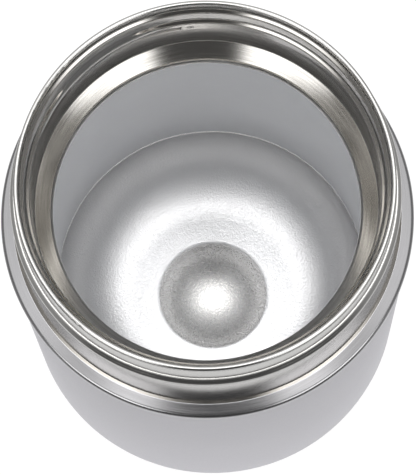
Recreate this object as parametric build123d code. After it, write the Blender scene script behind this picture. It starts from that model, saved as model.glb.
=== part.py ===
from build123d import *

import os
from math import atan2, cos, pi, radians, sin, tan

# Vacuum-insulated food jar with its lid off. A drawn steel liner hangs from the mouth bead inside a
# painted outer shell, and the sealed space between them holds radiation foil and a gas getter.
# Millimetres. The origin is the centre of the foot, +Z is up, and every wall is round about Z.

# ---- driving dimensions -------------------------------------------------------------------------

# Sheet stock
sheet = 0.5                    # liner, neck and bottom pressings
shell_wall = 0.6               # body tube with its paint
shoulder_wall = 0.8            # shoulder pressing
foil = 0.1

# Heights of the three outer storeys
body_height = 88.2             # painted tube
shoulder_height = 2.5          # bare shoulder above it
neck_height = 26.3             # neck and mouth bead above the shoulder

# Liner
bore_r = 38.85                 # plain neck and inner wall
lip_inset = 4.3                # from the bore to the throat's lip before its round
seat_depth = 18.8              # mouth to the top of the conical seat
seat_angle = 47.5              # of the seat, up from level
lip_return_angle = 45.0        # of the wall going back out under the lip
lip_round = 0.7
seat_round = 0.7
liner_corner_r = 18.4          # large corner of the bottom cup
cup_rim = 0.5                  # straight rim of the cup above that corner
dome_r = 13.8                  # foot of the raised dome
dome_height = 5.0
dome_foot_round = 2.2
dome_flank = 0.1               # straight part between the dome's crown and its foot

# Stepped mouth
step_gain = 0.8                # radius that each of the two steps adds
step_fall = 0.8                # height of one step
land_gain = 0.35               # draft of the land between the steps
land_fall = 2.9
lead_in_gain = 0.05            # draft of the last bit under the bead
step_start_depth = 7.0         # mouth to the foot of the lower step
step_round = 0.7
groove_turn = 42.0             # shallow groove pressed part of the way round under the steps
groove_end_angle = 94.0        # of its blunt deeper end about Z
groove_below_step = 2.3
groove_depth = 0.22
groove_section_r = 0.9
groove_offset = 0.8            # of the groove's own centre, so that it fades along its way
pip_angle = 90.5               # of the small pit beyond the groove's blunt end
pip_depth = 0.14
pip_r = 1.2

# Mouth bead
rim_gap = 0.1                  # space between the two walls under the bead
bead_skirt = 0.8               # straight sides of the bead below its half-round top

# Outer neck and its rolled thread
neck_draft = 1.9               # radius gained from the mouth down to the shoulder
collar_depth = 3.0             # neck inside the shoulder's collar
thread_lead = 2.0
thread_turns = 0.94
thread_height = 1.0
thread_half_width = 2.4
thread_top_depth = 8.0         # mouth to the crest at the thread's upper end
thread_top_angle = 79.0        # of the upper end about Z
run_out_angle = 32.0           # over which the thread rises from the wall
thread_step_angle = 16.0       # between the sections of the loft
thread_bury = 0.06             # how deep the flanks' feet sink into the wall
thread_root_depth = 0.3        # of the section inside the wall

# Shoulder
shoulder_overhang = 0.57       # beyond the painted tube
shoulder_round = 2.2
shoulder_inner_round = 0.7
shoulder_edge_round = 0.15
skirt_depth = 7.0              # skirt inside the tube
fit_clearance = 0.05
neck_fillet = 0.5              # legs of the weld fillet at the neck's root
shell_fillet = 0.35            # weld fillet under the overhang

# Body and foot
body_gap = 6.75                # vacuum space round the liner
foot_corner_r = 7.0
foot_width = 3.7               # flat ring that the jar stands on
foot_bend_r = 1.2
foot_lip_height = 4.2

# Bottom cap
cap_recess = 1.8               # cap's underside above the floor
cap_bend_r = 1.0
base_gap = 2.7                 # vacuum space between cap and liner
dimple_r = 6.5
dimple_floor_r = 4.5
dimple_depth = 1.4
vent_r = 1.2                   # evacuation hole
plug_r = 2.8
plug_drop = 0.9                # head of the plug below the hole
plug_round = 0.7
base_bead_r = 0.55

# Welds in the liner
weld_width = 0.5
weld_crown = 0.08

# Getter and foil
getter_inset = 8.0             # of its centre from the rim of the bottom cap
getter_r = 4.0
getter_height = 1.8
getter_round = 0.3
clip_sheet = 0.2
clip_width = 4.0
clip_foot = 2.6
clip_clearance = 0.1
foil_clearance = 0.1
foil_margin = 1.5              # bare wall at each end of the foil wrap

# ---- derived places -----------------------------------------------------------------------------

shoulder_top = body_height + shoulder_height
jar_top = shoulder_top + neck_height

mouth_r = bore_r + 2 * step_gain + land_gain + lead_in_gain
neck_top_r = mouth_r + 2 * sheet + rim_gap
neck_base_r = neck_top_r + neck_draft
bead_r = (neck_top_r - mouth_r) / 2
bead_seat = jar_top - bead_r - bead_skirt

body_r = bore_r + sheet + body_gap + shell_wall
shoulder_r = body_r + shoulder_overhang

cap_top = cap_recess + sheet
floor_z = cap_top + base_gap + sheet
liner_weld_z = floor_z + liner_corner_r + cup_rim
foot_bore_r = body_r - foot_corner_r - foot_width
getter_offset = foot_bore_r - getter_inset

seat_top = jar_top - seat_depth
throat_r = bore_r - lip_inset
lip_z = seat_top - lip_inset * tan(radians(seat_angle))
liner_shoulder_z = lip_z - lip_inset * tan(radians(lip_return_angle))


# ---- outlines -----------------------------------------------------------------------------------

def turn_of(before, corner, after):
    """Angle by which a path turns at a corner, in radians, positive to the left."""
    way_in = atan2(corner[1] - before[1], corner[0] - before[0])
    way_out = atan2(after[1] - corner[1], after[0] - corner[0])
    return (way_out - way_in + pi) % (2 * pi) - pi


def parallel(points, rounds, offset):
    """Path with rounded corners, moved by offset to the left of the way that it runs."""
    moved = []
    moved_rounds = []
    last = len(points) - 1
    for i, (x, y) in enumerate(points):
        before = points[max(i - 1, 0)]
        after = points[min(i + 1, last)]
        if 0 < i < last:
            turn = turn_of(before, points[i], after)
            moved_rounds.append(max(rounds[i - 1] - offset * (1 if turn > 0 else -1), 0.0))
            heading = atan2(points[i][1] - before[1], points[i][0] - before[0]) + turn / 2
            reach = offset / cos(turn / 2)
        else:
            heading = atan2(after[1] - before[1], after[0] - before[0])
            reach = offset
        moved.append((x - reach * sin(heading), y + reach * cos(heading)))
    if last == 1:
        return Line(moved[0], moved[1])
    return FilletPolyline(*moved, radius=moved_rounds)


def band(points, rounds, near, far):
    """Face between two parallels of one path: the section of a pressed sheet."""
    inner = parallel(points, rounds, near)
    outer = parallel(points, rounds, far)
    ends = [Line(inner @ 0, outer @ 0), Line(inner @ 1, outer @ 1)]
    return make_face(inner.edges() + outer.edges() + ends)


def turned(section):
    """Solid of revolution about Z from a section drawn as (radius, height)."""
    return revolve(Plane.XZ * section, Axis.Z)


# ---- outer shell, shoulder and bottom -----------------------------------------------------------

def outer_shell_section():
    path = [
        (foot_bore_r, foot_lip_height),
        (foot_bore_r, 0),
        (body_r, 0),
        (body_r, body_height),
    ]
    return band(path, [foot_bend_r, foot_corner_r], 0, shell_wall)


def shoulder_ring():
    skirt_r = body_r - shell_wall - fit_clearance
    skirt_end = body_height - skirt_depth
    web_bottom = shoulder_top - shoulder_wall
    collar_end = shoulder_top - collar_depth
    outline = [
        (neck_base_r, shoulder_top),
        (shoulder_r, shoulder_top),
        (shoulder_r, body_height),
        (skirt_r, body_height),
        (skirt_r, skirt_end),
        (skirt_r - shoulder_wall, skirt_end),
        (skirt_r - shoulder_wall, web_bottom),
        (neck_base_r + sheet, web_bottom),
        (neck_base_r + sheet, collar_end),
        (neck_base_r, collar_end),
    ]
    rounds = [0, shoulder_round, shoulder_edge_round, 0, 0, 0, shoulder_inner_round, 0, 0, 0]
    return turned(make_face(FilletPolyline(*outline, radius=rounds, close=True).edges()))


def shell_weld():
    corner = (body_r, body_height)
    outline = [corner, (body_r + shell_fillet, body_height), (body_r, body_height - shell_fillet)]
    return turned(make_face(Polyline(*outline, close=True).edges()))


def base_cap_section():
    flange_r = foot_bore_r - sheet
    path = [
        (vent_r, cap_recess + dimple_depth),
        (dimple_floor_r, cap_recess + dimple_depth),
        (dimple_r, cap_recess),
        (flange_r, cap_recess),
        (flange_r, foot_bend_r),
    ]
    rise = cap_recess - foot_bend_r
    return band(path, [cap_bend_r, cap_bend_r, min(cap_bend_r, rise) / 2], 0, sheet)


def base_weld():
    bead = Pos(foot_bore_r - sheet / 2, foot_bend_r - base_bead_r / 2) * Circle(base_bead_r)
    return turned(bead - outer_shell_section() - base_cap_section())


def seal_plug():
    hole_z = cap_recess + dimple_depth
    outline = [
        (0, hole_z - plug_drop),
        (plug_r, hole_z - plug_drop),
        (plug_r, hole_z),
        (vent_r, hole_z),
        (vent_r, hole_z + sheet),
        (0, hole_z + sheet),
    ]
    rounds = [0, plug_round, 0, 0, 0, 0]
    return turned(make_face(FilletPolyline(*outline, radius=rounds, close=True).edges()))


# ---- neck ---------------------------------------------------------------------------------------

def neck_r_at(z):
    """Outer radius of the tapered neck at a height."""
    return neck_top_r + neck_draft * (bead_seat - z) / (bead_seat - shoulder_top)


def thread_section(rise):
    """Half-wave of two hollow flanks and a round crest, drawn as (out from the wall, up)."""
    crest = thread_height * rise
    half = thread_half_width * (1 + rise) / 2
    bend = (crest ** 2 + half ** 2) / (4 * crest)
    sweep_angle = 2 * atan2(crest / 2, half / 2)
    foot = bend * (1 - cos(sweep_angle / 2))
    foot_z = half - bend * sin(sweep_angle / 2)
    top = ThreePointArc((crest / 2, -half / 2), (crest, 0), (crest / 2, half / 2))
    flanks = [
        ThreePointArc((0, side * half), (foot, side * foot_z), (crest / 2, side * half / 2))
        for side in (-1, 1)
    ]
    back = Polyline((0, -half), (-thread_root_depth, -half), (-thread_root_depth, half), (0, half))
    return Pos(-thread_bury, 0) * make_face([top, *flanks] + back.edges())


def thread():
    """The rolled ridge round the tapered neck, rising from the wall at both its ends."""
    sweep_total = 360 * thread_turns
    count = round(sweep_total / thread_step_angle)
    sections = []
    for i in range(count + 1):
        along = sweep_total * i / count
        nearest_end = min(along, sweep_total - along)
        rise = max(sin(min(nearest_end / run_out_angle, 1) * pi / 2) ** 2, thread_bury / 2)
        z = jar_top - thread_top_depth - thread_lead * along / 360
        place = Rot(0, 0, thread_top_angle - along) * Pos(neck_r_at(z), 0, z)
        sections.append(place * (Plane.XZ * thread_section(rise)))
    return loft(sections)


def neck_sleeve():
    path = [
        (neck_base_r, shoulder_top - collar_depth),
        (neck_base_r, shoulder_top),
        (neck_top_r, bead_seat),
    ]
    return turned(band(path, [0], 0, sheet)) + thread()


def neck_weld():
    """Flat-faced fillet between the shoulder and the neck's root."""
    corner = (neck_base_r, shoulder_top)
    far_out = (neck_base_r + neck_fillet, shoulder_top)
    far_up = (neck_r_at(shoulder_top + neck_fillet), shoulder_top + neck_fillet)
    return turned(make_face(Polyline(corner, far_out, far_up, close=True).edges()))


def rim_bead():
    middle_r = (mouth_r + neck_top_r) / 2
    seat_in = (mouth_r, bead_seat)
    seat_out = (neck_top_r, bead_seat)
    top_in = (mouth_r, jar_top - bead_r)
    top_out = (neck_top_r, jar_top - bead_r)
    crown = ThreePointArc(top_in, (middle_r, jar_top), top_out)
    sides = [Line(seat_in, top_in), Line(seat_out, top_out)]
    return turned(make_face([Line(seat_in, seat_out), crown, *sides]))


# ---- liner --------------------------------------------------------------------------------------

def groove():
    """Bent bar that presses the part-way groove into the bore, and the ball of the pit beyond it."""
    bar_r = bore_r + groove_depth - groove_section_r - groove_offset
    section = Plane.XZ * (Pos(bar_r, 0) * Circle(groove_section_r))
    height = jar_top - step_start_depth - groove_below_step
    bar = Pos(groove_offset, 0, height) * revolve(section, Axis.Z, revolution_arc=groove_turn)
    ball = Pos(bore_r + pip_depth - pip_r, 0, height) * Sphere(pip_r)
    return [Rot(0, 0, groove_end_angle) * bar, Rot(0, 0, pip_angle) * ball]


def liner_tube():
    lower_step = jar_top - step_start_depth
    low_step_r = bore_r + step_gain
    land_r = low_step_r + land_gain
    path = [
        (mouth_r, bead_seat),
        (land_r + step_gain, lower_step + 2 * step_fall + land_fall),
        (land_r, lower_step + step_fall + land_fall),
        (low_step_r, lower_step + step_fall),
        (bore_r, lower_step),
        (bore_r, seat_top),
        (throat_r, lip_z),
        (bore_r, liner_shoulder_z),
        (bore_r, liner_weld_z + weld_width / 2),
    ]
    rounds = [0, step_round, step_round, step_round, seat_round, lip_round, seat_round]
    return turned(band(path, rounds, 0, sheet)) - groove()


def cup_path():
    """Inside of the bottom cup from its rim to the centre of the dome, with its rounds."""
    knee_r = (dome_r ** 2 + dome_height ** 2) / (2 * dome_r)
    slope = atan2(dome_height, dome_r - knee_r)
    crown_reach = (dome_r - knee_r) / cos(slope) - dome_foot_round * tan(slope / 2) - dome_flank
    path = [
        (bore_r, liner_weld_z - weld_width / 2),
        (bore_r, floor_z),
        (dome_r, floor_z),
        (knee_r, floor_z + dome_height),
        (0, floor_z + dome_height),
    ]
    return path, [liner_corner_r, dome_foot_round, crown_reach / tan(slope / 2)]


def liner_weld():
    low = liner_weld_z - weld_width / 2
    high = liner_weld_z + weld_width / 2
    outer_r = bore_r + sheet
    inside = ThreePointArc((bore_r, low), (bore_r - weld_crown, liner_weld_z), (bore_r, high))
    outside = ThreePointArc((outer_r, low), (outer_r + weld_crown, liner_weld_z), (outer_r, high))
    edges = [Line((bore_r, low), (outer_r, low)), Line((bore_r, high), (outer_r, high))]
    return turned(make_face([inside, outside, *edges]))


# ---- in the vacuum space ------------------------------------------------------------------------

def foil_wrap():
    inner_r = bore_r + sheet + foil_clearance
    low = liner_weld_z + foil_margin
    high = liner_shoulder_z - foil_margin
    return turned(band([(inner_r, high), (inner_r, low)], [], 0, foil))


def foil_base():
    """Flat disc tacked under the level ring between the dome and the cup's corner."""
    place = Pos(0, 0, floor_z - sheet - foil_clearance)
    return place * Cylinder(
        bore_r - liner_corner_r, foil, align=(Align.CENTER, Align.CENTER, Align.MAX)
    )


def getter_capsule():
    drum = Pos(getter_offset, 0, cap_top) * Cylinder(
        getter_r, getter_height, align=(Align.CENTER, Align.CENTER, Align.MIN)
    )
    return fillet(drum.edges().sort_by(Axis.Z)[-1], getter_round)


def getter_clip():
    side = getter_r + clip_clearance
    path = [
        (-side - clip_foot, 0),
        (-side, 0),
        (-side, getter_height),
        (side, getter_height),
        (side, 0),
        (side + clip_foot, 0),
    ]
    section = Plane.YZ * band(path, [0, clip_sheet, clip_sheet, 0], 0, clip_sheet)
    return Pos(getter_offset, 0, cap_top) * extrude(section, clip_width / 2, both=True)


# ---- nodes --------------------------------------------------------------------------------------

pieces = {
    "outer_shell": turned(outer_shell_section()),
    "shoulder_ring": shoulder_ring(),
    "shell_weld": shell_weld(),
    "neck_sleeve": neck_sleeve(),
    "neck_weld": neck_weld(),
    "rim_bead": rim_bead(),
    "liner_tube": liner_tube(),
    "liner_weld": liner_weld(),
    "liner_base": turned(band(*cup_path(), 0, sheet)),
    "base_cap": turned(base_cap_section()),
    "base_weld": base_weld(),
    "seal_plug": seal_plug(),
    "getter_capsule": getter_capsule(),
    "getter_clip": getter_clip(),
    "foil_wrap": foil_wrap(),
    "foil_base": foil_base(),
}

os.makedirs("parts", exist_ok=True)
for name, piece in pieces.items():
    export_step(piece, f"parts/{name}.step")
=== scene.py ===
from math import cos, radians, sin, tan

import bpy
from mathutils import Matrix, Vector


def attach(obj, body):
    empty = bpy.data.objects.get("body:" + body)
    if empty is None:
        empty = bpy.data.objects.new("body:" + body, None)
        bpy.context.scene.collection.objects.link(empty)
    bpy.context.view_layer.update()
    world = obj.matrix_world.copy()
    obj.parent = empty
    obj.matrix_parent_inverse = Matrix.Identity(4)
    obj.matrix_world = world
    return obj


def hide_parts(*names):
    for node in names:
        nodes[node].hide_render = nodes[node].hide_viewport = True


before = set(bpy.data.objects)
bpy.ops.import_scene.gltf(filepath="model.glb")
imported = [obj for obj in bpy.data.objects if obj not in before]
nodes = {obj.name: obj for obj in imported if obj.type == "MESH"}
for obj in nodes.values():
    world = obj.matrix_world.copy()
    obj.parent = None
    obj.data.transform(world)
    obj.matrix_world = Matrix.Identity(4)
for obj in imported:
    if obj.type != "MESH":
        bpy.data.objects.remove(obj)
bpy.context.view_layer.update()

MM = 0.001

# ---- view ---------------------------------------------------------------------------------------

CAMERA_AT = Vector((-0.00096, -0.14914, 0.65783))
CAMERA_PITCH = radians(75.823)         # downwards
CAMERA_YAW = radians(0.29)
CAMERA_ROLL = radians(-4.349)
CAMERA_LENS = 194.85                   # mm, as the sensor
CAMERA_SENSOR = 36.0                   # along the picture's long side


def add_camera():
    forward = Vector((
        sin(CAMERA_YAW) * cos(CAMERA_PITCH),
        cos(CAMERA_YAW) * cos(CAMERA_PITCH),
        -sin(CAMERA_PITCH),
    ))
    right = Vector((cos(CAMERA_YAW), -sin(CAMERA_YAW), 0))
    up = right.cross(forward)
    right, up = (
        cos(CAMERA_ROLL) * right + sin(CAMERA_ROLL) * up,
        cos(CAMERA_ROLL) * up - sin(CAMERA_ROLL) * right,
    )
    data = bpy.data.cameras.new("camera")
    data.lens = CAMERA_LENS
    data.sensor_fit = "AUTO"
    data.sensor_width = CAMERA_SENSOR
    data.dof.use_dof = False
    camera = bpy.data.objects.new("camera", data)
    turn = Matrix((right, up, -forward)).transposed().to_4x4()
    camera.matrix_world = Matrix.Translation(CAMERA_AT) @ turn
    bpy.context.scene.collection.objects.link(camera)
    bpy.context.scene.camera = camera


# ---- node helpers -------------------------------------------------------------------------------

class Tree:
    """Short calls for building a node tree."""

    def __init__(self, tree, output):
        self.tree = tree
        tree.nodes.clear()
        self.out = self.add(output)

    def add(self, kind, **values):
        node = self.tree.nodes.new(kind)
        for key, value in values.items():
            setattr(node, key, value)
        return node

    def feed(self, node, **sockets):
        """Sets inputs by number (i0, i1) or by name: a socket is linked, anything else is a value."""
        for name, value in sockets.items():
            numbered = name[0] == "i" and name[1:].isdigit()
            target = node.inputs[int(name[1:]) if numbered else name.replace("_", " ")]
            if isinstance(value, bpy.types.NodeSocket):
                self.tree.links.new(value, target)
            else:
                target.default_value = value
        return node

    def math(self, operation, a, b=0.0):
        return self.feed(self.add("ShaderNodeMath", operation=operation), i0=a, i1=b).outputs[0]

    def ramp(self, value, low, high, start=0.0, end=1.0):
        """Smooth change from start to end while value goes from low to high."""
        node = self.add("ShaderNodeMapRange", interpolation_type="SMOOTHSTEP")
        return self.feed(node, i0=value, i1=low, i2=high, i3=start, i4=end).outputs[0]

    def mix_colours(self, share, a, b):
        return self.feed(self.add("ShaderNodeMix", data_type="RGBA"), i0=share, i6=a, i7=b).outputs[2]

    def mix_values(self, share, a, b):
        return self.feed(self.add("ShaderNodeMix", data_type="FLOAT"), i0=share, i2=a, i3=b).outputs[0]

    def mix_shaders(self, share, a, b):
        return self.feed(self.add("ShaderNodeMixShader"), i0=share, i1=a, i2=b).outputs[0]

    def white(self, kind, strength):
        """White emission or background."""
        return self.feed(self.add(kind), Color=grey(1.0), Strength=strength).outputs[0]

    def noise(self, vector, scale, detail=2.0, roughness=0.5):
        node = self.add("ShaderNodeTexNoise")
        self.feed(node, Vector=vector, Scale=scale, Detail=detail, Roughness=roughness)
        return node.outputs["Fac"]

    def point(self):
        """Place on the object."""
        return self.add("ShaderNodeTexCoord").outputs["Object"]

    def seen_by_camera(self):
        return self.add("ShaderNodeLightPath").outputs["Is Camera Ray"]

    def parts(self, vector):
        return self.feed(self.add("ShaderNodeSeparateXYZ"), i0=vector).outputs

    def vector(self, x, y, z=0.0):
        return self.feed(self.add("ShaderNodeCombineXYZ"), i0=x, i1=y, i2=z).outputs[0]

    def length(self, vector):
        node = self.add("ShaderNodeVectorMath", operation="LENGTH")
        return self.feed(node, i0=vector).outputs["Value"]

    def direction(self, vector):
        node = self.add("ShaderNodeVectorMath", operation="NORMALIZE")
        return self.feed(node, i0=vector).outputs[0]

    def dot(self, vector, axis):
        node = self.add("ShaderNodeVectorMath", operation="DOT_PRODUCT")
        return self.feed(node, i0=vector, i1=tuple(axis)).outputs["Value"]


def grey(level):
    return (level, level, level, 1.0)


def new_material(name):
    material = bpy.data.materials.new(name)
    material.use_nodes = True
    tree = Tree(material.node_tree, "ShaderNodeOutputMaterial")
    shader = tree.add("ShaderNodeBsdfPrincipled")
    tree.feed(tree.out, Surface=shader.outputs[0])
    return material, tree, shader


def bump(tree, shader, height, distance, strength=1.0):
    node = tree.add("ShaderNodeBump")
    tree.feed(node, Height=height, Distance=distance, Strength=strength)
    tree.feed(shader, Normal=node.outputs[0])


# ---- materials ----------------------------------------------------------------------------------

# Usual range of a noise, which the materials stretch over a range of their own.
NOISE_SPAN = (0.3, 0.7)
FINE_DETAIL = 4.0                      # octaves of smears and lathe lines
GRAIN_DETAIL = 3.0
SMEAR_RATE = 60.0
WARM = (1.0, 0.985, 0.96)
NEUTRAL = (1.0, 1.0, 1.0)
TAN = (1.0, 0.95, 0.88)
LAVENDER = (0.99, 0.98, 1.0)

# Painted shade: greys of the coat, darker than its own off-white.
COAT_PAINTED_SHADE_COLOURS = ((0.52, 0.51, 0.55, 1), (0.56, 0.55, 0.59, 1))
PAINT_CLOUDS = 40.0
PAINT_GRAIN = 2600.0
PAINT_ROUGH = (0.34, 0.44)
PAINT_DEPTH = 0.02 * MM
PAINT_BUMP = 0.5


def spread(tree, noise, low=0.0, high=1.0):
    """Stretches a noise over a range."""
    return tree.ramp(noise, *NOISE_SPAN, low, high)


def lathe_lines(tree, line_rate, turn_rate, roughness=0.6):
    """Noise that changes fast across a turned surface and slowly round it, with no seam."""
    x, y, z = tree.parts(tree.point())
    flat = tree.vector(x, y)
    around_x, around_y, _ = tree.parts(tree.direction(flat))
    across = tree.math(
        "ADD",
        tree.math("MULTIPLY", tree.length(flat), line_rate),
        tree.math("MULTIPLY", z, line_rate),
    )
    place = tree.vector(
        tree.math("MULTIPLY", around_x, turn_rate),
        tree.math("MULTIPLY", around_y, turn_rate),
        across,
    )
    return tree.noise(place, 1.0, FINE_DETAIL, roughness)


def shaded(tree, shades, tint):
    """Colour that drifts between two greys of one tint."""
    smear = tree.noise(tree.point(), SMEAR_RATE, FINE_DETAIL)
    ends = [tuple(shade * part for part in tint) + (1.0,) for shade in shades]
    return tree.mix_colours(smear, *ends)


def painted_metal():
    """Satin powder coat with a breath of lavender and a very fine texture, in greys darker than the
    coat's own off-white: a painted shade.
    """
    material, tree, shader = new_material("paint")
    point = tree.point()
    cloud = tree.noise(point, PAINT_CLOUDS, GRAIN_DETAIL)
    grain = tree.noise(point, PAINT_GRAIN, GRAIN_DETAIL, roughness=0.6)
    # The coat's colour drifts at random between two greys, both darker than its own colour as painted
    # shade.
    colour = tree.mix_colours(cloud, *COAT_PAINTED_SHADE_COLOURS)
    tree.feed(shader, Base_Color=colour, Roughness=spread(tree, grain, *PAINT_ROUGH))
    bump(tree, shader, grain, PAINT_DEPTH, PAINT_BUMP)
    return material


def turned_steel(name, shades, rough, depth, line_rate=9000.0, tint=WARM):
    """Steel with fine lathe lines round the jar, a little uneven in shade and gloss."""
    material, tree, shader = new_material(name)
    lines = lathe_lines(tree, line_rate, turn_rate=4.0)
    gloss = spread(tree, lines, *rough)
    tree.feed(shader, Base_Color=shaded(tree, shades, tint), Roughness=gloss, Metallic=1.0)
    bump(tree, shader, lines, depth)
    return material


def blasted_steel(name, shades, rough, depth, grain_rate):
    """Metal with a sparkling grain."""
    material, tree, shader = new_material(name)
    grain = tree.noise(tree.point(), grain_rate, roughness=0.6)
    gloss = spread(tree, grain, *rough)
    tree.feed(shader, Base_Color=shaded(tree, shades, NEUTRAL), Roughness=gloss, Metallic=1.0)
    bump(tree, shader, grain, depth)
    return material


BLEND = 0.25 * MM                      # half the width of a change of finish
# The liner's neck is bright above the lip, and rougher on its plain band, between seat and groove.
LIP_Z = 93.3 * MM
SEAT_Z = 98.2 * MM
BAND_TOP_Z = 106.4 * MM
# Painted shade: the neck's colours are darker than the steel's own.
NECK_PAINTED_SHADE_COLOURS = ((0.44, 0.425, 0.40, 1), (0.61, 0.595, 0.57, 1))
NECK_STREAKS = 1600.0
NECK_LINES = 7000.0
NECK_ROUGH = (0.08, 0.13)
BAND_ROUGHER = 0.10
SEAT_ROUGHER = 0.03
# Painted light: the wall's greys are far lighter than the steel's own, standing in for light inside
# the jar.
WALL_PAINTED_LIGHT_SHADES = (0.84, 0.90)
WALL_TINT = (0.97, 0.98, 1.0)
WALL_GRAIN = 3000.0
WALL_ROUGH = (0.46, 0.54)
LINER_DEPTH = 0.0006 * MM

DOME_R = 13.9 * MM
# Painted shade: the dome is a darker grey than the base around it.
DOME_PAINTED_SHADE_GREYS = (0.60, 0.66)
DOME_TINT = (1.0, 0.985, 0.97)
DOME_SMOOTHER = 0.10
# Painted light: the base is lighter than the steel's own grey.
BASE_PAINTED_LIGHT_SHADES = (0.70, 0.78)
BASE_TINT = (1.0, 1.0, 1.01)
BASE_GRAIN = 1900.0
BASE_ROUGH = (0.30, 0.42)
BASE_DEPTH = 0.10 * MM


def past(tree, value, edge, start=0.0, end=1.0):
    """Quick change from start to end where a value passes an edge."""
    return tree.ramp(value, edge - BLEND, edge + BLEND, start, end)


def liner_steel():
    """Polished turned neck and seat above the lip in painted shade, darker than the steel's own grey;
    semi-matte blue-grey wall below it in painted light, far lighter than the steel's own grey.
    """
    material, tree, shader = new_material("liner_steel")
    height = tree.parts(tree.point())[2]
    above = past(tree, height, LIP_Z)
    streaks = lathe_lines(tree, NECK_STREAKS, turn_rate=2.0, roughness=0.7)
    # Neck in painted shade, wall below the lip in painted light.
    neck = tree.mix_colours(spread(tree, streaks), *NECK_PAINTED_SHADE_COLOURS)
    wall = shaded(tree, WALL_PAINTED_LIGHT_SHADES, WALL_TINT)
    lines = lathe_lines(tree, NECK_LINES, turn_rate=3.0)
    grain = tree.noise(tree.point(), WALL_GRAIN, GRAIN_DETAIL)
    on_band = tree.math(
        "MULTIPLY",
        past(tree, height, SEAT_Z),
        past(tree, height, BAND_TOP_Z, 1.0, 0.0),
    )
    on_seat = past(tree, height, SEAT_Z, SEAT_ROUGHER, 0.0)
    rougher = tree.math("ADD", tree.math("MULTIPLY", on_band, BAND_ROUGHER), on_seat)
    neck_rough = tree.math("ADD", spread(tree, lines, *NECK_ROUGH), rougher)
    wall_rough = spread(tree, grain, *WALL_ROUGH)
    rough = tree.mix_values(above, wall_rough, neck_rough)
    colour = tree.mix_colours(above, wall, neck)
    tree.feed(shader, Base_Color=colour, Roughness=rough, Metallic=1.0)
    bump(tree, shader, tree.mix_values(above, grain, lines), LINER_DEPTH)
    return material


def base_steel():
    """Sparkling bead-blasted base in painted light, lighter than the steel's own grey, whose dome is
    smoother and painted a little darker as painted shade.
    """
    material, tree, shader = new_material("base_steel")
    point = tree.point()
    x, y, _ = tree.parts(point)
    radius = tree.length(tree.vector(x, y))
    on_dome = past(tree, radius, DOME_R, DOME_SMOOTHER, 0.0)
    grain = tree.noise(point, BASE_GRAIN, GRAIN_DETAIL, roughness=0.7)
    rough = tree.math("SUBTRACT", spread(tree, grain, *BASE_ROUGH), on_dome)
    # Dome in painted shade, the rest of the base in painted light.
    colour = tree.mix_colours(
        past(tree, radius, DOME_R),
        shaded(tree, DOME_PAINTED_SHADE_GREYS, DOME_TINT),
        shaded(tree, BASE_PAINTED_LIGHT_SHADES, BASE_TINT),
    )
    tree.feed(shader, Base_Color=colour, Roughness=rough, Metallic=1.0)
    bump(tree, shader, grain, BASE_DEPTH)
    return material


def dress_nodes(liner, ring):
    paint = painted_metal()
    neck = turned_steel("neck_steel", shades=(0.54, 0.60), rough=(0.12, 0.20), depth=0.0012 * MM)
    base = base_steel()
    cap = turned_steel(
        "cap_steel", shades=(0.52, 0.60), rough=(0.28, 0.38), depth=0.004 * MM, line_rate=5000.0,
    )
    weld = turned_steel(
        "weld", shades=(0.60, 0.72), rough=(0.18, 0.30), depth=0.004 * MM, line_rate=3000.0, tint=TAN,
    )
    solder = blasted_steel(
        "solder", shades=(0.35, 0.50), rough=(0.35, 0.55), depth=0.05 * MM, grain_rate=900.0,
    )
    getter = blasted_steel(
        "getter", shades=(0.22, 0.30), rough=(0.5, 0.65), depth=0.03 * MM, grain_rate=1500.0,
    )
    foil = blasted_steel(
        "foil", shades=(0.70, 0.80), rough=(0.12, 0.25), depth=0.2 * MM, grain_rate=400.0,
    )
    # Painted light: the weld inside the jar is as light as the wall around it.
    liner_weld = turned_steel(
        "liner_weld", shades=(0.86, 0.92), rough=(0.10, 0.16), depth=0.001 * MM,
    )
    finishes = {
        "outer_shell": paint,
        "shoulder_ring": ring,
        "shell_weld": weld,
        "neck_sleeve": neck,
        "neck_weld": weld,
        "rim_bead": neck,
        "liner_tube": liner,
        "liner_weld": liner_weld,
        "liner_base": base,
        "base_cap": cap,
        "base_weld": weld,
        "seal_plug": solder,
        "getter_capsule": getter,
        "getter_clip": cap,
        "foil_wrap": foil,
        "foil_base": foil,
    }
    for name, material in finishes.items():
        mesh = nodes[name].data
        mesh.materials.clear()
        mesh.materials.append(material)


# ---- own pieces: lengths in mm, turns in degrees from +X towards +Y ------------------------------

SHEET = 0.5
ARC_STEP = radians(7.0)
SUPPORT = 0.05                         # of the loops that keep the straight runs straight
SHARP = radians(40.0)                  # edges are shaded sharp from this angle
BORE_R = 38.85
# Inside of the liner from the mouth down: radius, height and round of each corner.
LINER_PATH = [
    (40.85, 115.65, 0.0),
    (40.80, 114.50, 0.7),
    (40.00, 113.70, 0.7),
    (39.65, 110.80, 0.7),
    (BORE_R, 110.00, 0.7),
    (BORE_R, 98.20, 0.5),
    (34.07, 93.50, 2.0),
    (BORE_R, 88.72, 0.7),
    (BORE_R, 24.65, 0.0),
]
# Heights between which extra loops carry the groove and the pit, and the turns with more steps.
FINE_ROWS = (106.8, 108.6, 0.1)
FINE_TURNS = (84.0, 140.0, 0.4)
TURN_STEP = 1.5
GROOVE_Z = 107.7
GROOVE_TURNS = (94.0, 136.0)
GROOVE_DEPTH = 0.34
GROOVE_ROUND = 0.9
GROOVE_FADE = 0.8
PIT_TURN = 90.5
PIT_DEPTH = 0.14
PIT_ROUND = 1.2
# Above the groove the lower step is worn to a straight slope between these heights and radii.
WORN_FROM = (109.3, BORE_R)
WORN_TO = (111.1, 39.69)
# Turns at which the wear starts, is full, begins to fade and ends.
WORN_TURNS = (95.0, 112.0, 132.0, 160.0)

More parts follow.
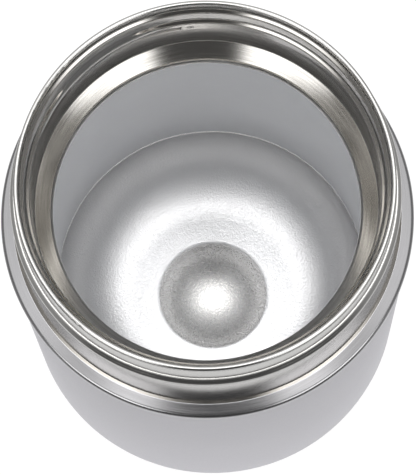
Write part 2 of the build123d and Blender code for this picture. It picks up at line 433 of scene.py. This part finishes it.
# Shoulder ring from its collar's top, over the sloping face and the skirt, and back to the collar.
RING_PATH = [
    (43.85, 90.70, 0.0),
    (44.40, 90.70, 0.5),
    (47.27, 89.54, 1.3),
    (47.27, 88.20, 0.15),
    (46.05, 88.20, 0.0),
    (46.05, 81.20, 0.0),
    (45.25, 81.20, 0.0),
    (45.25, 89.90, 0.2),
    (44.35, 89.90, 0.2),
    (44.35, 87.70, 0.0),
    (43.85, 87.70, 0.0),
]


def left_of(run):
    return Vector((-run.y, run.x))


def rounded_path(corners):
    """Points and normals along a path with rounded corners.

    The normals point to the left of the path. A sharp corner within it has a zero normal.
    """
    places = [Vector(corner[:2]) for corner in corners]
    runs = [(after - here).normalized() for here, after in zip(places, places[1:])]
    points = [(places[0], left_of(runs[0]))]
    for here, (_, _, bend), run_in, run_out in zip(places[1:], corners[1:], runs, runs[1:]):
        if not bend:
            points.append((here, Vector((0.0, 0.0))))
            continue
        turn = run_in.angle_signed(run_out)
        left_in, left_out = left_of(run_in), left_of(run_out)
        reach = bend * tan(abs(turn) / 2)
        side = -1.0 if turn > 0 else 1.0
        centre = here - run_in * reach + left_in * bend * side
        steps = max(2, round(abs(turn) / ARC_STEP))
        points.append((here - run_in * (reach + SUPPORT), left_in))
        for k in range(steps + 1):
            normal = left_in.slerp(left_out, k / steps)
            points.append((centre - normal * bend * side, normal))
        points.append((here + run_out * (reach + SUPPORT), left_out))
    return points + [(places[-1], left_of(runs[-1]))]


def with_rows(points, low, high, step):
    """Adds loops on the straight run between two heights."""
    fuller = []
    for (here, normal), (after, _) in zip(points, points[1:]):
        fuller.append((here, normal))
        if here.y > high and after.y < low:
            count = round((high - low) / step)
            fuller += [(Vector((here.x, high - k * step)), normal) for k in range(count + 1)]
    return fuller + [points[-1]]


def pressed_depth(turn, z):
    """Depth of the part-way groove and of the pit beyond it at a place on the bore."""
    depth = 0.0
    start, end = GROOVE_TURNS
    if start <= turn <= end:
        deepest = GROOVE_DEPTH - GROOVE_FADE * (1 - cos(radians(turn - start)))
        depth = deepest - (z - GROOVE_Z) ** 2 / (2 * GROOVE_ROUND)
    away = radians(turn - PIT_TURN) * BORE_R
    pit = PIT_DEPTH - (away ** 2 + (z - GROOVE_Z) ** 2) / (2 * PIT_ROUND)
    return max(depth, pit, 0.0)


def worn_radius(turn, r, z):
    """Radius of the inside at a place where the lower step may be worn."""
    start, full, fading, end = WORN_TURNS
    (low, low_r), (high, high_r) = WORN_FROM, WORN_TO
    if not (start < turn < end and low < z < high):
        return r
    share = min(1.0, (turn - start) / (full - start), (end - turn) / (end - fading))
    slope = low_r + (high_r - low_r) * (z - low) / (high - low)
    return r + (slope - r) * share


def turn_list():
    """Turns of the profile round the axis, closer together where the groove and the pit are."""
    low, high, step = FINE_TURNS
    turns = [low + step * k for k in range(round((high - low) / step))]
    rest = 360.0 - (high - low)
    count = round(rest / TURN_STEP)
    return turns + [high + rest * k / count for k in range(count)]


def turned_piece(name, node, outline, material, radius=None):
    """Piece that stands for a node: a closed outline turned round the axis.

    The outline runs counterclockwise in radius and height. radius(turn, k, r, z) moves its points.
    """
    turns = turn_list()
    rows = len(outline)
    vertices = []
    for turn in turns:
        c, s = cos(radians(turn)), sin(radians(turn))
        for k, (r, z) in enumerate(outline):
            r = radius(turn, k, r, z) if radius else r
            vertices.append((r * c * MM, r * s * MM, z * MM))
    faces = []
    for i in range(len(turns)):
        near, far = i * rows, (i + 1) % len(turns) * rows
        for k in range(rows):
            after = (k + 1) % rows
            faces.append((near + k, far + k, far + after, near + after))
    mesh = bpy.data.meshes.new(name)
    mesh.from_pydata(vertices, [], faces)
    mesh.polygons.foreach_set("use_smooth", [True] * len(faces))
    mesh.set_sharp_from_angle(angle=SHARP)
    mesh.materials.append(material)
    piece = bpy.data.objects.new(name, mesh)
    bpy.context.scene.collection.objects.link(piece)
    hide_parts(node)
    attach(piece, "root")


def liner_piece(material):
    """Liner tube with the soft roll of its lip, its groove and its worn step."""
    inside = with_rows(rounded_path(LINER_PATH), *FINE_ROWS)
    outside = [here + normal * SHEET for here, normal in reversed(inside)]

    def radius(turn, k, r, z):
        return worn_radius(turn, r, z) + pressed_depth(turn, z) if k < len(inside) else r

    outline = [here for here, _ in inside] + outside
    turned_piece("liner_tube_skin", "liner_tube", outline, material, radius)


def ring_piece(material):
    """Shoulder ring with the gentle slope that its face has in the photograph."""
    outline = [here for here, _ in reversed(rounded_path(RING_PATH))]
    turned_piece("shoulder_ring_skin", "shoulder_ring", outline, material)


# ---- studio: the camera sees white, and every other ray sees what the photograph's steel reflects --

NEAR_ZERO = 0.001                      # keeps divisions safe

FLOOR_SIZE = 3.0
FLOOR_SHADES = (0.80, 0.82)
FLOOR_SPECKS = 300.0
FLOOR_ROUGH = 0.8
FLOOR_GLOW = 0.8                       # share of the glow in what the camera sees, the rest is shaded
FLOOR_WHITE = 1.1
# For every ray but the camera's the floor is a painted glow that lights the jar from below with no
# shadow and shows in its reflections: white as far as the first radius and dark from the second, where
# it has the first level in front of the jar and the second at the sides and behind.
SHEET_REACH = (0.09, 0.24)
FLOOR_FAR = (0.10, 0.40)
# It goes from the one to the other between these shares of the way sideways, and between these
# places along Y.
FLOOR_SIDE = (0.70, 0.95)
FLOOR_BACK = (-0.02, 0.02)


def add_floor():
    """White floor with the jar's shadow for the camera; for every other ray a painted glow, white near
    the jar and dark beyond, that lights the jar and shows in its reflections.
    """
    mesh = bpy.data.meshes.new("floor")
    half = FLOOR_SIZE / 2
    corners = [(-half, -half, 0), (half, -half, 0), (half, half, 0), (-half, half, 0)]
    mesh.from_pydata(corners, [], [(0, 1, 2, 3)])
    floor = bpy.data.objects.new("floor", mesh)
    bpy.context.scene.collection.objects.link(floor)

    material, tree, shader = new_material("floor")
    point = tree.point()
    speck = tree.noise(point, FLOOR_SPECKS)
    colour = tree.mix_colours(speck, *(grey(shade) for shade in FLOOR_SHADES))
    tree.feed(shader, Base_Color=colour, Roughness=FLOOR_ROUGH)
    glow = tree.white("ShaderNodeEmission", FLOOR_WHITE)
    seen = tree.mix_shaders(FLOOR_GLOW, shader.outputs[0], glow)

    away = tree.length(point)
    x, y, _ = tree.parts(point)
    aside = tree.math("DIVIDE", tree.math("ABSOLUTE", x), tree.math("MAXIMUM", away, NEAR_ZERO))
    open_side = tree.math("MAXIMUM", aside, tree.ramp(y, *FLOOR_BACK))
    far = tree.ramp(open_side, *FLOOR_SIDE, *FLOOR_FAR)
    level = tree.ramp(away, *SHEET_REACH, FLOOR_WHITE * FLOOR_GLOW, far)
    # Painted glow: for every ray but the camera's the floor lights the jar and shows in its
    # reflections, with no shadow.
    painted_floor_glow = tree.white("ShaderNodeEmission", level)
    tree.feed(tree.out, Surface=tree.mix_shaders(tree.seen_by_camera(), painted_floor_glow, seen))
    mesh.materials.append(material)


# Light of the room at the horizon and overhead, and the heights between which it changes.
ROOM_LEVELS = (0.22, 0.80)
ROOM_HEIGHTS = (8.0, 65.0)
# Soft boxes: turn from -Y towards +X, height above the horizon, half width, half height (degrees),
# softness of the edges and strength.
BOXES = [
    (-43.0, 22.0, 20.0, 10.0, 0.20, 3.2),
    (40.0, 22.0, 21.0, 10.0, 0.20, 3.2),
    (-105.0, 47.0, 32.0, 15.0, 0.22, 1.3),
    (105.0, 47.0, 32.0, 15.0, 0.22, 1.3),
    (0.0, 84.0, 27.0, 26.0, 0.20, 3.3),
    (180.0, 38.0, 50.0, 24.0, 0.40, 1.2),
]
BOX_AHEAD = 0.01                       # cosine from its centre below which a box gives no light
# Dark gap between the two front boxes.
GAP_TURN = -2.0
GAP_HALF_WIDTH = 0.38                  # at the horizon
GAP_LOSS = 0.19                        # of half width, from the horizon to overhead
GAP_SOFTNESS = 0.05
GAP_AHEAD = (0.11, 0.28)               # it fades in while a direction turns forward
GAP_HEIGHTS = (25.0, 50.0)             # degrees above the horizon
GAP_SHARES = (0.74, 0.88)              # of the light that it takes, low down and high up


def add_box(tree, way, turn, height, half_width, half_height, softness, strength):
    """Light from a far rectangle, as seen from the jar."""
    turn, height = radians(turn), radians(height)
    centre = Vector((sin(turn) * cos(height), -cos(turn) * cos(height), sin(height)))
    across = Vector((cos(turn), sin(turn), 0.0))
    ahead, aside, upward = (
        tree.dot(way, axis) for axis in (centre, across, centre.cross(across))
    )
    depth = tree.math("MAXIMUM", ahead, NEAR_ZERO)
    masks = []
    for offset, half in ((aside, half_width), (upward, half_height)):
        reach = tree.math("ABSOLUTE", tree.math("DIVIDE", offset, depth))
        edge = tan(radians(half))
        masks.append(tree.ramp(reach, edge - softness, edge + softness, 1.0, 0.0))
    front = tree.math("GREATER_THAN", ahead, BOX_AHEAD)
    lit = tree.math("MULTIPLY", tree.math("MULTIPLY", *masks), front)
    return tree.math("MULTIPLY", lit, strength)


def height_ramp(tree, way, heights, start, end):
    """Smooth change between two heights above the horizon."""
    low, high = (sin(radians(height)) for height in heights)
    return tree.ramp(tree.parts(way)[2], low, high, start, end)


def gap_share(tree, way):
    """Share of the light that is left in front, between the two boxes."""
    turn = radians(GAP_TURN)
    aside = tree.dot(way, (cos(turn), sin(turn), 0.0))
    ahead = tree.dot(way, (sin(turn), -cos(turn), 0.0))
    narrowing = tree.dot(way, (0.0, 0.0, GAP_LOSS))
    reach = tree.math("ADD", tree.math("ABSOLUTE", aside), narrowing)
    across = tree.ramp(
        reach, GAP_HALF_WIDTH - GAP_SOFTNESS, GAP_HALF_WIDTH + GAP_SOFTNESS, 1.0, 0.0,
    )
    within = tree.math("MULTIPLY", across, tree.ramp(ahead, *GAP_AHEAD))
    taken = height_ramp(tree, way, GAP_HEIGHTS, *GAP_SHARES)
    return tree.math("SUBTRACT", 1.0, tree.math("MULTIPLY", within, taken))


def light_world():
    """White for the camera; the room, six soft boxes and a dark gap in front for every other ray."""
    world = bpy.data.worlds.new("studio")
    bpy.context.scene.world = world
    world.use_nodes = True
    tree = Tree(world.node_tree, "ShaderNodeOutputWorld")
    way = tree.add("ShaderNodeTexCoord").outputs["Generated"]
    total = height_ramp(tree, way, ROOM_HEIGHTS, *ROOM_LEVELS)
    for box in BOXES:
        total = tree.math("MAXIMUM", total, add_box(tree, way, *box))
    strength = tree.math("MULTIPLY", total, gap_share(tree, way))
    studio = tree.white("ShaderNodeBackground", strength)
    white = tree.white("ShaderNodeBackground", 1.0)
    tree.feed(tree.out, Surface=tree.mix_shaders(tree.seen_by_camera(), studio, white))


# ---- scene --------------------------------------------------------------------------------------

liner = liner_steel()
# Painted shade: the shoulder ring's steel is a darker grey than the neck's steel, so its face stays
# grey under the overhead box.
ring = turned_steel(
    "ring_steel_painted_shade",
    shades=(0.38, 0.46), rough=(0.17, 0.25), depth=0.002 * MM, line_rate=6000.0, tint=LAVENDER,
)
dress_nodes(liner, ring)
liner_piece(liner)
ring_piece(ring)
add_floor()
light_world()
add_camera()
bpy.context.scene.view_settings.view_transform = "Standard"
